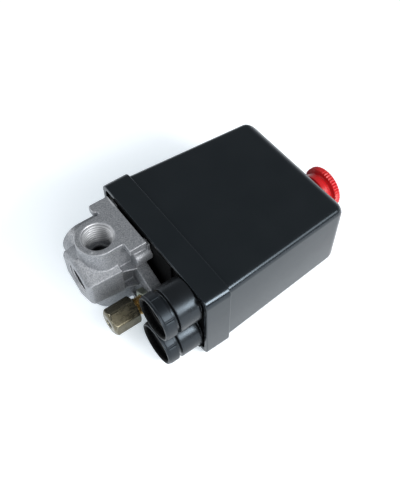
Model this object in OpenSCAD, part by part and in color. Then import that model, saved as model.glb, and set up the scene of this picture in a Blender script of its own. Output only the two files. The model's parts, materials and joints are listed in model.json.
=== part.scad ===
// Four-port pressure switch for a small piston air compressor.
// It lies on its broad back. The origin is the centre of the inlet port's mouth,
// +Y runs from the inlet port to the on/off knob, +X towards the cable glands, +Z up.

/* [Cover] */
// Width of the cover at its open end
cover_w = 74; // [72:0.5:78]
// Thickness of the cover at its open end
cover_t = 40; // [39.5:0.5:44]
// Length of the cover
cover_l = 75.5; // [74:0.5:82]
// Length of the stepped skirt round the open end
skirt_l = 11.5; // [8:0.5:14]
// Height of the step between skirt and body
skirt_step = 1.3; // [0.8:0.1:1.5]
// How much each side draws in over the width
draft_w = 3.6; // [3:0.1:4]
// How much each side draws in over the thickness
draft_t = 1.1; // [0.6:0.1:1.4]
// Wall thickness of the cover
cover_wall = 2.2; // [1.8:0.1:2.4]
// Radius of the edges of the closed end
end_round = 5.5; // [4:0.5:7]

/* [Manifold] */
// Distance from the inlet mouth to the crossing of the outlet ports
cross_y = 12.6; // [12:0.1:14]
// Distance from the crossing to the upper and lower port mouths
port_reach = 19.3; // [18.5:0.1:19.6]
// Distance from the crossing to the side port mouth
side_reach = 18; // [17:0.1:19]
// Bore radius of the threaded ports, 1/4 inch pipe thread
port_r = 5.8; // [5.6:0.05:6]
// Depth of the threaded bores
port_depth = 11; // [10:0.5:12]
// Radius of the round bosses round the ports
boss_r = 9.2; // [8.8:0.1:9.4]
// Hexagonal inlet block, across flats at its mouth
inlet_af = 22; // [20:0.5:23]

/* [Layout] */
// Distance from the inlet mouth to the open end of the cover
mouth_y = 28.3; // [28:0.1:29]
// Sideways offset of the cover's centre from the ports
cover_x = 14.4; // [14:0.1:15]
// Sideways place of both cable glands
gland_x = 39.2; // [39:0.1:39.4]
// Height of each gland above and below the middle
gland_z = 10.1; // [10:0.1:10.2]
// Sideways place of the knob
knob_x = 22.9; // [22.5:0.1:23.2]
// Sideways place of the unloader valve
unloader_x = 20.2; // [20:0.1:20.6]
// Depth of the unloader valve below the middle
unloader_z = 9.8; // [9.6:0.1:10]

/* [Glands and knob] */
// Outer radius of the gland bodies and nuts
gland_r = 9.7; // [9.4:0.1:9.8]
// Radius of the cable hole in the gland seal
cable_r = 4.6; // [3.5:0.1:5]
// Radius of the knob's gripping flange
knob_r = 10.1; // [9:0.1:11]
// How far the knob pushes in
knob_travel = 4; // [3:0.5:4]
// Radius of the air tube that the compression nut holds
tube_r = 2.05; // [2:0.05:2.1]

/* [Hidden] */
$fn = 64;

eps = 0.01;
fit_gap = 0.05;
slide_gap = 0.3;

// Cover levels along Y
body_y = mouth_y + skirt_l;
end_y = mouth_y + cover_l;
body_w = cover_w - 2 * skirt_step;
body_t = cover_t - 2 * skirt_step;
end_w = body_w - 2 * draft_w;
end_t = body_t - 2 * draft_t;
skirt_round = 3.4;
body_round = 2.6;

// Manifold flange, behind the ports
flange_y = 21;
lip_y = 19;
flange_back = 26.7;
flange_w = 29.4;
screw_x = 11.9;
screw_z = 10.5;
screw_r = 2;
post_r = 3.4;

// Base frame: its raised pad meets the flange, its plate sits inside the skirt
earth_x = -16;
earth_r = 1.75;
pad_y = 28.2;
plate_y = 29.5;
plate_back = 32.5;
chamber_r = 12;
piston_r = 9;

// Sheet-metal bracket and lever
foot_back = plate_back + 1.5;
top_y = 70.5;
top_back = 72;
wall_z = 14.2;
sheet = 1.4;
pivot_x = 10;
pivot_y = 40;
pivot_r = 1.5;
lever_y = 37;
lever_t = 2;
lever_z = 11.5;
lever_end_x = 38;

// Adjusting screws
range_r = 2.5;
range_seat_y = 58;
diff_x = 17;
diff_z = 8;
diff_r = 2;
diff_seat_y = 54;

// Contact block
block_x0 = 27.6;
block_x1 = 45;
block_mid = (block_x0 + block_x1) / 2;
block_y0 = 48;
block_y1 = 66;
block_z = 14.8;
pole_z = 9;
bridge_y = 55;
terminal_dx = 5.8;
tip_r = 1.3;

// Glands, counted along Y
gland_shoulder = mouth_y - 9.8;
gland_neck_y = mouth_y - 12.3;
gland_front = mouth_y - 16.4;
gland_web_y = mouth_y - 14;
gland_web_back = gland_web_y + 0.6;
gland_nut_back = mouth_y - 11.3;
neck_r = gland_r - 1.75;
neck_bore = 6.9;
web_bore = 6.4;
seal_y = mouth_y - 11.6;
seal_back = mouth_y - 5.9;

// Unloader valve, counted along Y
nut_front = 1.5;
nut_back = 14;
nut_web = 6.4;
unloader_front = 9.6;
locknut_y = 18.2;
thread_r = 4;
hex_af = 11;

// Screw that holds the cover down, on its post
cover_screw_x = 9.2;
cover_screw_r = 1.9;

// A bar along +Y
module rod_y(r, y0, y1, x = 0, z = 0) {
    translate([x, y0, z])
    rotate([-90, 0, 0])
    cylinder(r = r, h = y1 - y0);
}

// A tapered bar along +Y
module cone_y(r0, r1, y0, y1, x = 0, z = 0) {
    translate([x, y0, z])
    rotate([-90, 0, 0])
    cylinder(r1 = r0, r2 = r1, h = y1 - y0);
}

// A hexagonal bar along +Y, with corners up and down
module hex_y(af, y0, y1, x = 0, z = 0, turn = 30) {
    translate([x, y0, z])
    rotate([-90, turn, 0])
    cylinder(r = af / sqrt(3), h = y1 - y0, $fn = 6);
}

// A box given by its lowest and highest corners
module block(lo, hi) {
    translate(lo)
    cube(hi - lo);
}

// A rounded rectangle in X and Z, drawn along +Y
module rounded_y(w, t, r, y0, y1) {
    translate([cover_x, y1, 0])
    rotate([90, 0, 0])
    linear_extrude(y1 - y0) {
        square([w - 2 * r, t], center = true);
        square([w, t - 2 * r], center = true);
        for (sx = [-1, 1])
            for (sz = [-1, 1])
                translate([sx * (w / 2 - r), sz * (t / 2 - r)])
                circle(r = r);
    }
}

// One thin slice of the drafted cover body, for hull
module slice(w, t, r, y) {
    for (sx = [-1, 1])
        for (sz = [-1, 1])
            rod_y(r, y, y + eps, cover_x + sx * (w / 2 - r), sz * (t / 2 - r), $fn = 32);
}

// Drafted block with a rounded closed end; inset shrinks it for the cavity
module drafted_body(y0, inset) {
    round_r = end_round - inset;
    hull() {
        slice(body_w - 2 * inset, body_t - 2 * inset, body_round, y0);
        for (a = [0:18:90]) {
            draw = inset + round_r * (1 - cos(a));
            y = end_y - inset - round_r * (1 - sin(a)) - eps;
            slice(end_w - 2 * draw, end_t - 2 * draw, body_round, y);
        }
    }
}

module cover() {
    color([0.1, 0.11, 0.12])
    difference() {
        union() {
            rounded_y(cover_w, cover_t, skirt_round, mouth_y, body_y);
            drafted_body(body_y - eps, 0);
        }
        rounded_y(cover_w - 2 * cover_wall, cover_t - 2 * cover_wall, 2, mouth_y - 1, body_y - 2);
        drafted_body(body_y - 3, cover_wall);
        rod_y(6.3, end_y - 10, end_y + 1, knob_x);
        rod_y(cover_screw_r + 0.3, end_y - 10, end_y + 1, cover_screw_x);
    }
}

module cover_screw() {
    color("silver")
    difference() {
        union() {
            rod_y(cover_screw_r, end_y - 12, end_y, cover_screw_x);
            rod_y(3.4, end_y, end_y + 1.2, cover_screw_x);
            cone_y(3.4, 2.5, end_y + 1.2, end_y + 2, cover_screw_x);
        }
        block([cover_screw_x - 5, end_y + 1, -0.5], [cover_screw_x + 5, end_y + 3, 0.5]);
    }
}

module cover_post() {
    color("silver")
    difference() {
        hex_y(6.5, top_back, end_y - cover_wall - 0.1, cover_screw_x);
        rod_y(cover_screw_r, end_y - 14, end_y, cover_screw_x);
    }
}

// One gland stub of the base frame: shoulder, threaded neck and rim at the plate
module gland_stub(z) {
    rod_y(gland_r, gland_shoulder, mouth_y - slide_gap, gland_x, z);
    rod_y(neck_r, gland_neck_y, gland_shoulder + 1, gland_x, z);
    rod_y(7.4, mouth_y - 1, plate_y + 1, gland_x, z);
}

module base_frame() {
    color([0.09, 0.09, 0.09])
    difference() {
        union() {
            rounded_y(cover_w - 2 * cover_wall - 0.4, cover_t - 2 * cover_wall - 0.4, 2,
                plate_y, plate_back);
            block([-15, pad_y, -17.2], [28, plate_y + eps, 17.2]);
            rod_y(chamber_r - 0.2, flange_back + 0.8, pad_y + eps);
            for (s = [-1, 1])
                gland_stub(s * gland_z);
            // latch feet that peep out under the skirt
            for (sz = [-1, 1])
                block([43, mouth_y - 1.2, min(sz * 15.4, sz * 17.4)],
                    [47.5, plate_y + eps, max(sz * 15.4, sz * 17.4)]);
        }
        rod_y(piston_r + slide_gap, flange_back, plate_back + 1);
        for (sx = [-1, 1])
            for (sz = [-1, 1])
                rod_y(screw_r + 0.2, pad_y - 1, plate_back + 1, sx * screw_x, sz * screw_z);
        for (s = [-1, 1]) {
            rod_y(5, gland_neck_y, plate_back + 1, gland_x, s * gland_z);
            rod_y(neck_bore, gland_neck_y - 1, seal_back + 0.1, gland_x, s * gland_z);
        }
        rod_y(earth_r, plate_back - 2, plate_back + 1, earth_x);
        rod_y(thread_r + 0.1, pad_y - 1, plate_back + 1, unloader_x, -unloader_z);
    }
}

// A port boss with one round side, from the crossing to its mouth along +Z
module port_boss(reach) {
    translate([0, cross_y, 0])
    cylinder(r = boss_r, h = reach);
    block([-boss_r, cross_y, 0], [boss_r, flange_back - 2, reach]);
}

// A threaded bore from the mouth inwards along -Z, at the thread's minor radius
module port_bore(reach, depth) {
    translate([0, 0, reach - depth])
    cylinder(r = port_r, h = depth + 1);
    translate([0, 0, reach - depth - 4])
    cylinder(r = 4.2, h = 5);
    cylinder(r = 2.4, h = reach);
}

module manifold() {
    color([0.68, 0.69, 0.71])
    difference() {
        union() {
            for (turn = [0, 180])
                rotate([0, turn, 0])
                port_boss(port_reach);
            rotate([0, -90, 0])
            port_boss(side_reach);
            // hexagonal inlet block, slightly tapered, with a chamfered mouth
            translate([0, 1.2, 0])
            rotate([-90, 30, 0])
            cylinder(r1 = inlet_af / sqrt(3), r2 = (inlet_af + 2.4) / sqrt(3), h = 14, $fn = 6);
            rotate([-90, 30, 0])
            cylinder(r1 = inlet_af / sqrt(3) - 1.3, r2 = inlet_af / sqrt(3), h = 1.2 + eps, $fn = 6);
            // flange with its lips, screw posts, corner pads and unloader lug
            block([-flange_w / 2 + 1, flange_y, -16.5], [flange_w / 2 - 2.4, flange_back, 16.5]);
            for (s = [-1, 1])
                block([-flange_w / 2 - 0.9, lip_y, s > 0 ? 16.2 : -port_reach],
                    [flange_w / 2 - 0.9, flange_back, s > 0 ? port_reach : -16.2]);
            // rounded tabs that stand forward at the left end of both lips
            for (z = [-port_reach, port_reach - 3])
                translate([0, 0, z])
                linear_extrude(3) {
                    for (x = [0.4, 2.4])
                        translate([x - flange_w / 2, lip_y - 0.4])
                        circle(r = 1.3);
                    translate([0.4 - flange_w / 2, lip_y - 1.7])
                    square([2, 3]);
                    translate([-flange_w / 2 - 0.9, lip_y - 0.4])
                    square([4.6, 2]);
                }
            for (sx = [-1, 1])
                for (sz = [-1, 1])
                    rod_y(post_r, flange_y, pad_y, sx * screw_x, sz * screw_z);
            for (sx = [-1, 1])
                for (sz = [-1, 1])
                    block([sx > 0 ? 9.8 : -14.6, flange_back - eps, sz > 0 ? 13 : -17],
                        [sx > 0 ? 13.8 : -10.6, pad_y, sz > 0 ? 17 : -13]);
            translate([0, flange_back - 0.5, 0])
            rotate([90, 0, 0])
            linear_extrude(flange_back - 0.5 - flange_y)
            polygon([[10, 6.2], [13.4, 5], [22.9, 1.3], [26.5, -3], [26.5, -14], [23, -17], [10, -17]]);
            // gusset ribs between the inlet block and the flange
            for (z = [-6.4, 5.6])
                block([7, cross_y, z], [11, flange_y + eps, z + 0.8]);
            for (z = [-6.4, 5.6])
                translate([11 - eps, flange_y + eps, z])
                linear_extrude(0.8)
                polygon([[0, 0], [3.2, 0], [0, -8.4]]);
        }
        for (turn = [0, 180])
            rotate([0, turn, 0])
            translate([0, cross_y, 0])
            port_bore(port_reach, port_depth);
        translate([0, cross_y, 0])
        rotate([0, -90, 0])
        port_bore(side_reach, port_depth);
        translate([0, port_depth, 0])
        rotate([90, 0, 0])
        port_bore(port_depth, port_depth - 0.5);
        rod_y(2.4, 5, flange_back + 1);
        cone_y(3, 8.5, flange_back - 2.6, flange_back - 0.79);
        rod_y(chamber_r, flange_back - 0.8, flange_back + 1);
        for (sx = [-1, 1])
            for (sz = [-1, 1])
                rod_y(screw_r, flange_y + 1, pad_y + 1, sx * screw_x, sz * screw_z);
        rod_y(thread_r + 0.1, flange_y - 1, flange_back + 1, unloader_x, -unloader_z);
    }
}

module manifold_screws() {
    color("silver")
    for (sx = [-1, 1])
        for (sz = [-1, 1])
            difference() {
                union() {
                    rod_y(screw_r, flange_y + 2, foot_back, sx * screw_x, sz * screw_z);
                    rod_y(3.4, foot_back, foot_back + 2.2, sx * screw_x, sz * screw_z);
                }
                block([sx * screw_x - 2.2, foot_back + 1, sz * screw_z - 0.4],
                    [sx * screw_x + 2.2, foot_back + 3, sz * screw_z + 0.4]);
                block([sx * screw_x - 0.4, foot_back + 1, sz * screw_z - 2.2],
                    [sx * screw_x + 0.4, foot_back + 3, sz * screw_z + 2.2]);
            }
}

module diaphragm() {
    color([0.13, 0.12, 0.11])
    difference() {
        union() {
            rod_y(chamber_r - 0.1, flange_back - 0.8, flange_back + 0.75);
            rod_y(piston_r - 2, flange_back - 1, flange_back);
        }
        translate([0, flange_back + 0.9, 0])
        rotate([-90, 0, 0])
        rotate_extrude()
        translate([piston_r - 0.2, 0])
        circle(r = 0.7, $fn = 24);
    }
}

module diaphragm_piston() {
    color("silver") {
        rod_y(8.2, flange_back + 0.8, flange_back + 3.8);
        rod_y(5, flange_back + 3.8, plate_back);
        rod_y(2.8, plate_back, lever_y - fit_gap - 2.8);
        translate([0, lever_y - fit_gap - 2.8, 0])
        sphere(r = 2.8);
    }
}

module mechanism_bracket() {
    color([0.72, 0.73, 0.7])
    difference() {
        union() {
            block([-15, plate_back, -wall_z - sheet], [15.4, foot_back, wall_z + sheet]);
            block([-19, plate_back, -4.5], [-14, foot_back, 4.5]);
            for (s = [-1, 1])
                block([-9, plate_back, s > 0 ? wall_z : -wall_z - sheet],
                    [15.4, top_back, s > 0 ? wall_z + sheet : -wall_z]);
            block([-9, top_y, -wall_z - sheet], [15.4, top_back, wall_z + sheet]);
            block([15, top_y, -6], [27, top_back, 12.4]);
        }
        rod_y(6, plate_back - 1, foot_back + 1);
        for (sx = [-1, 1])
            for (sz = [-1, 1])
                rod_y(screw_r + 0.2, plate_back - 1, foot_back + 1, sx * screw_x, sz * screw_z);
        translate([pivot_x, pivot_y, -wall_z - 3])
        cylinder(r = pivot_r, h = 2 * wall_z + 6);
        rod_y(range_r + fit_gap, top_y - 1, top_back + 1);
        rod_y(diff_r + fit_gap, top_y - 1, top_back + 1, diff_x, diff_z);
        rod_y(2.5 + fit_gap, top_y - 1, top_back + 1, knob_x);
        rod_y(earth_r, plate_back - 1, foot_back + 1, earth_x);
        // lightening windows in both side walls
        for (y = [47, 60])
            block([-5, y, -wall_z - 3], [11, y + 8, wall_z + 3]);
    }
}

module lever() {
    color([0.62, 0.63, 0.64])
    difference() {
        union() {
            block([-8, lever_y, -lever_z], [23, lever_y + lever_t, lever_z]);
            block([22, lever_y, -5], [lever_end_x, lever_y + lever_t, 5]);
            for (s = [-1, 1]) {
                translate([pivot_x, pivot_y, s > 0 ? lever_z - 1.5 : -lever_z])
                cylinder(r = 3.4, h = 1.5);
                block([pivot_x - 3.4, lever_y, s > 0 ? lever_z - 1.5 : -lever_z],
                    [pivot_x + 3.4, pivot_y, s > 0 ? lever_z : -lever_z + 1.5]);
            }
        }
        translate([pivot_x, pivot_y, -lever_z - 1])
        cylinder(r = pivot_r + fit_gap, h = 2 * lever_z + 2);
        block([pivot_x - 2, lever_y + 1, -lever_z + 1.5], [pivot_x + 2, pivot_y + 4, lever_z - 1.5]);
    }
}

module lever_pin() {
    color("silver")
    translate([pivot_x, pivot_y, -wall_z - sheet - 0.5])
    cylinder(r = pivot_r, h = 2 * (wall_z + sheet + 0.5));
}

// Retaining washers on both ends of the lever pin, inside the bracket walls
module pin_clips() {
    color("silver")
    for (s = [-1, 1])
        translate([pivot_x, pivot_y, s > 0 ? wall_z - 1 : -wall_z + 0.2])
        difference() {
            cylinder(r = 3, h = 0.8);
            translate([0, 0, -1])
            cylinder(r = pivot_r, h = 3);
        }
}

// A helical wire: sides of the wire, steps a turn, mean radius r, wire radius w
function coil_point(r, w, turns, h, i, j, steps, sides) =
    let (a = 360 * i / steps, b = 360 * j / sides, t = i / (turns * steps))
    [(r + w * cos(b)) * cos(a), w + (h - 2 * w) * t + w * sin(b), (r + w * cos(b)) * sin(a)];

module coil_spring(r, w, turns, h, steps = 16, sides = 6) {
    rings = turns * steps;
    points = [for (i = [0:rings]) for (j = [0:sides - 1])
        coil_point(r, w, turns, h, i, j, steps, sides)];
    skin = [for (i = [0:rings - 1]) for (j = [0:sides - 1])
        let (k = (j + 1) % sides)
        [i * sides + j, i * sides + k, (i + 1) * sides + k, (i + 1) * sides + j]];
    first = [[for (j = [sides - 1:-1:0]) j]];
    last = [[for (j = [0:sides - 1]) rings * sides + j]];
    polyhedron(points = points, faces = concat(skin, first, last), convexity = 10);
}

module range_spring() {
    color("silver")
    translate([0, lever_y + lever_t + fit_gap, 0])
    coil_spring(5.6, 0.85, 7, range_seat_y - lever_y - lever_t - 2 * fit_gap);
}

// An adjusting screw: shank, captive collar under the top plate and a driven head
module adjusting_screw(r, x, z, tip_y, head_r) {
    rod_y(r, tip_y, top_back + 1, x, z);
    rod_y(r + 1.2, top_y - 1.3, top_y - 0.1, x, z);
    difference() {
        hex_y(2 * head_r, top_back + 0.1, top_back + 3.6, x, z);
        block([x - 6, top_back + 2.4, z - 0.6], [x + 6, top_back + 5, z + 0.6]);
    }
}

module range_screw() {
    color("silver")
    adjusting_screw(range_r, 0, 0, 46, 4);
}

// Spring seat with two arms that the bracket walls keep from turning
module range_seat() {
    color([0.75, 0.68, 0.42])
    difference() {
        union() {
            rod_y(7.2, range_seat_y, range_seat_y + 1.5);
            block([-3, range_seat_y, 0.4 - wall_z], [3, range_seat_y + 1.5, wall_z - 0.4]);
            hex_y(9, range_seat_y, range_seat_y + 4.5);
        }
        rod_y(range_r + fit_gap, range_seat_y - 1, range_seat_y + 6);
    }
}

module differential_spring() {
    color("silver")
    translate([diff_x, lever_y + lever_t + fit_gap, diff_z])
    coil_spring(2.9, 0.45, 8, diff_seat_y - lever_y - lever_t - 2 * fit_gap, 12);
}

module differential_screw() {
    color("silver")
    adjusting_screw(diff_r, diff_x, diff_z, 44, 3);
}

module differential_seat() {
    color([0.75, 0.68, 0.42])
    difference() {
        union() {
            rod_y(3.6, diff_seat_y, diff_seat_y + 1.2, diff_x, diff_z);
            hex_y(6, diff_seat_y, diff_seat_y + 3.5, diff_x, diff_z);
        }
        rod_y(diff_r + fit_gap, diff_seat_y - 1, diff_seat_y + 5, diff_x, diff_z);
    }
}

module contact_block() {
    color([0.2, 0.13, 0.09])
    difference() {
        union() {
            block([block_x0, block_y0, -block_z], [block_x1, block_y1, block_z]);
            for (x = [block_x0, block_x1 - 2])
                for (z = [-block_z, block_z - 2.4])
                    block([x, plate_back, z], [x + 2, block_y0 + eps, z + 2.4]);
            // barrier between the two poles
            block([block_x0, block_y1 - eps, -1], [block_x1, block_y1 + 4, 1]);
        }
        for (s = [-1, 1])
            block([block_x0 + 1.5, block_y0 - 1, s > 0 ? 4.6 : -block_z + 1.5],
                [block_x1 - 1.5, block_y1 - 4, s > 0 ? block_z - 1.5 : -4.6]);
        block([block_mid - 3, block_y0 - 1, -5], [block_mid + 3, block_y1 - 5, 5]);
        for (sx = [-1, 1])
            for (sz = [-1, 1]) {
                rod_y(1.5, block_y1 - 5, block_y1 + 1, block_mid + sx * terminal_dx, sz * pole_z);
                block([block_mid + sx * 3.6 - 0.5, block_y1 - 5, sz * pole_z - 1.6],
                    [block_mid + sx * 3.6 + 0.5, block_y1 + 1, sz * pole_z + 1.6]);
            }
    }
}

// One fixed contact: terminal plate, leg through the block and silver tip
module fixed_contact(sx, sz) {
    leg_x = block_mid + sx * 3.6;
    tip_x = block_mid + sx * terminal_dx;
    difference() {
        union() {
            block([min(leg_x - 0.4, tip_x - 2.6), block_y1, sz * pole_z - 3],
                [max(leg_x + 0.4, tip_x + 2.6), block_y1 + 1, sz * pole_z + 3]);
            block([leg_x - 0.4, bridge_y + 2.4, sz * pole_z - 1.5],
                [leg_x + 0.4, block_y1 + eps, sz * pole_z + 1.5]);
            block([min(leg_x - 0.4, tip_x - tip_r), bridge_y + 2.4, sz * pole_z - 1.5],
                [max(leg_x + 0.4, tip_x + tip_r), bridge_y + 3.2, sz * pole_z + 1.5]);
            rod_y(tip_r, bridge_y + 1.6 + fit_gap, bridge_y + 2.5, tip_x, sz * pole_z);
        }
        rod_y(1.5, block_y1 - 1, block_y1 + 2, tip_x, sz * pole_z);
    }
}

module fixed_contacts() {
    color([0.78, 0.62, 0.34])
    for (sx = [-1, 1])
        for (sz = [-1, 1])
            fixed_contact(sx, sz);
}

module contact_carrier() {
    color([0.85, 0.83, 0.76])
    union() {
        // rounded nose that rides on the lever
        translate([block_mid, lever_y + lever_t + fit_gap + 1.8, -4])
        cylinder(r = 1.8, h = 8);
        block([block_mid - 1.7, 41, -3], [block_mid + 1.7, 59, 3]);
        block([block_mid - 2, 48.6, -11.5], [block_mid + 2, 50.6, 11.5]);
        for (s = [-1, 1])
            rod_y(1, 50.6 - eps, 57.6, block_mid, s * pole_z);
    }
}

module contact_bridges() {
    color([0.8, 0.55, 0.35])
    for (s = [-1, 1])
        difference() {
            union() {
                block([block_mid - 7.2, bridge_y, s * pole_z - 2],
                    [block_mid + 7.2, bridge_y + 0.8, s * pole_z + 2]);
                for (sx = [-1, 1])
                    rod_y(tip_r, bridge_y + 0.7, bridge_y + 1.6, block_mid + sx * terminal_dx,
                        s * pole_z);
            }
            rod_y(1, bridge_y - 1, bridge_y + 2, block_mid, s * pole_z);
        }
}

module contact_springs() {
    color("silver")
    for (s = [-1, 1])
        translate([block_mid, 50.65, s * pole_z])
        coil_spring(1.6, 0.3, 5, bridge_y - 50.7, 12);
}

module terminal_screws() {
    color([0.8, 0.78, 0.7])
    for (sx = [-1, 1])
        for (sz = [-1, 1])
            translate([block_mid + sx * terminal_dx, 0, sz * pole_z])
            difference() {
                union() {
                    rod_y(1.5, block_y1 - 4, block_y1 + 1);
                    rod_y(2.5, block_y1 + 1, block_y1 + 3);
                }
                block([-3, block_y1 + 2, -0.35], [3, block_y1 + 4, 0.35]);
            }
}

module earth_screw() {
    color([0.35, 0.6, 0.4])
    difference() {
        union() {
            rod_y(earth_r, plate_back - 2, foot_back, earth_x);
            rod_y(2.7, foot_back, foot_back + 2, earth_x);
        }
        block([earth_x - 3, foot_back + 1.1, -0.4], [earth_x + 3, foot_back + 3, 0.4]);
    }
}

module knob() {
    knob_y = end_y + knob_travel + 0.4;
    color([0.85, 0.08, 0.08])
    difference() {
        union() {
            rod_y(6, end_y - 7, knob_y + 1, knob_x);
            rod_y(8.4, knob_y, knob_y + 3.4, knob_x);
            rod_y(7.6, knob_y + 3, knob_y + 4.4, knob_x);
            rod_y(knob_r - 0.35, knob_y + 4.2, knob_y + 7, knob_x);
            cone_y(knob_r - 0.35, knob_r - 1.4, knob_y + 7, knob_y + 7.8, knob_x);
            // grip teeth round the flange
            for (a = [0:12:348])
                translate([knob_x, 0, 0])
                rotate([0, a, 0])
                rod_y(0.55, knob_y + 4.2, knob_y + 7, knob_r - 0.55, $fn = 16);
        }
        rod_y(2.5, end_y - 8, knob_y + 2, knob_x);
        rod_y(6.4, knob_y + 7, knob_y + 9, knob_x);
    }
}

module knob_stem() {
    color("silver")
    difference() {
        rod_y(2.5, 49, end_y + 4, knob_x);
        difference() {
            rod_y(3, 69.4, 70.2, knob_x);
            rod_y(2, 69, 71, knob_x);
        }
    }
}

module stem_clip() {
    color("gray")
    difference() {
        rod_y(4.2, 69.5, 70.1, knob_x);
        rod_y(2, 69, 71, knob_x);
        block([knob_x - 1.4, 69, -5], [knob_x + 1.4, 71, 0]);
    }
}

module off_latch() {
    color([0.85, 0.83, 0.76])
    difference() {
        union() {
            rod_y(3.4, 45, 53, knob_x);
            cone_y(2.2, 3.4, 43.4, 45 + eps, knob_x);
        }
        rod_y(2.5, 49, 54, knob_x);
    }
}

module unloader_body() {
    color([0.8, 0.62, 0.3])
    difference() {
        union() {
            rod_y(thread_r - 0.02, unloader_front, 33, unloader_x, -unloader_z);
            rod_y(4.7, flange_back - 0.4, pad_y - 0.1, unloader_x, -unloader_z);
        }
        rod_y(tube_r, unloader_front - 1, 13, unloader_x, -unloader_z);
        rod_y(1.3, 12, 34, unloader_x, -unloader_z);
    }
}

module unloader_locknut() {
    color([0.74, 0.77, 0.66])
    difference() {
        hex_y(hex_af, locknut_y, flange_y, unloader_x, -unloader_z);
        rod_y(thread_r, locknut_y - 1, flange_y + 1, unloader_x, -unloader_z);
    }
}

module compression_nut() {
    color([0.62, 0.55, 0.36])
    difference() {
        intersection() {
            hex_y(hex_af, nut_front, nut_back, unloader_x, -unloader_z);
            union() {
                cone_y(4.7, 6.4, nut_front, nut_front + 1.1, unloader_x, -unloader_z);
                rod_y(6.4, nut_front + 1.1 - eps, nut_back, unloader_x, -unloader_z);
            }
        }
        rod_y(tube_r, nut_front - 1, nut_back, unloader_x, -unloader_z);
        rod_y(thread_r + 0.06, nut_web, nut_back + 1, unloader_x, -unloader_z);
    }
}

module ferrule() {
    color([0.85, 0.7, 0.35])
    difference() {
        rod_y(3.8, nut_web + 0.1, nut_web + 2, unloader_x, -unloader_z);
        rod_y(tube_r, 6, 9, unloader_x, -unloader_z);
    }
}

module valve_pin() {
    color("silver")
    union() {
        rod_y(1.22, 14, lever_y - fit_gap - 1.22, unloader_x, -unloader_z);
        translate([unloader_x, lever_y - fit_gap - 1.22, -unloader_z])
        sphere(r = 1.22, $fn = 32);
        rod_y(2.6, 35, 35.6, unloader_x, -unloader_z);
    }
}

module valve_spring() {
    color("silver")
    translate([unloader_x, 33 + fit_gap, -unloader_z])
    coil_spring(2.1, 0.2, 4, 1.9, 12);
}

// Nut of one gland: a ring with an inner web, a threaded skirt and grip notches
module gland_nut(z) {
    difference() {
        rod_y(gland_r, gland_front, gland_nut_back, gland_x, z);
        rod_y(neck_r + 0.08, gland_front - 1, gland_web_y, gland_x, z);
        rod_y(web_bore, gland_front - 1, gland_nut_back + 1, gland_x, z);
        rod_y(neck_r + 0.08, gland_web_back, gland_nut_back + 1, gland_x, z);
        for (a = [0:60:300])
            translate([gland_x, 0, z])
            rotate([0, a, 0])
            block([gland_r - 0.35, gland_front + 1.2, -0.5], [gland_r + 1, gland_nut_back + 1, 0.5]);
    }
}

// Thrust washer that turns in the nut's web and presses on the seal
module gland_washer(z) {
    difference() {
        union() {
            rod_y(web_bore - fit_gap, gland_web_y + 0.2, gland_web_back + 0.3, gland_x, z);
            rod_y(neck_bore - 0.1, gland_web_back + fit_gap, gland_web_back + 0.6, gland_x, z);
        }
        rod_y(cable_r, gland_web_y - 1, gland_web_back + 2, gland_x, z);
    }
}

// Rubber sealing ring in the neck
module gland_seal(z) {
    difference() {
        rod_y(neck_bore - 0.05, seal_y, seal_back, gland_x, z);
        rod_y(cable_r, seal_y - 1, seal_back + 1, gland_x, z);
    }
}

module gland_nut_upper() {
    color([0.12, 0.12, 0.12])
    gland_nut(gland_z);
}

module gland_washer_upper() {
    color([0.2, 0.2, 0.2])
    gland_washer(gland_z);
}

module gland_seal_upper() {
    color([0.08, 0.08, 0.08])
    gland_seal(gland_z);
}

module gland_nut_lower() {
    color([0.12, 0.12, 0.12])
    gland_nut(-gland_z);
}

module gland_washer_lower() {
    color([0.2, 0.2, 0.2])
    gland_washer(-gland_z);
}

module gland_seal_lower() {
    color([0.08, 0.08, 0.08])
    gland_seal(-gland_z);
}

cover();
cover_screw();
cover_post();
base_frame();
manifold();
manifold_screws();
diaphragm();
diaphragm_piston();
mechanism_bracket();
lever();
lever_pin();
pin_clips();
range_spring();
range_screw();
range_seat();
differential_spring();
differential_screw();
differential_seat();
contact_block();
fixed_contacts();
contact_carrier();
contact_bridges();
contact_springs();
terminal_screws();
earth_screw();
knob();
knob_stem();
stem_clip();
off_latch();
unloader_body();
unloader_locknut();
compression_nut();
ferrule();
valve_pin();
valve_spring();
gland_nut_upper();
gland_washer_upper();
gland_seal_upper();
gland_nut_lower();
gland_washer_lower();
gland_seal_lower();
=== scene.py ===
import json
import math

import bpy
import bmesh
from mathutils import Matrix, Vector


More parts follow.
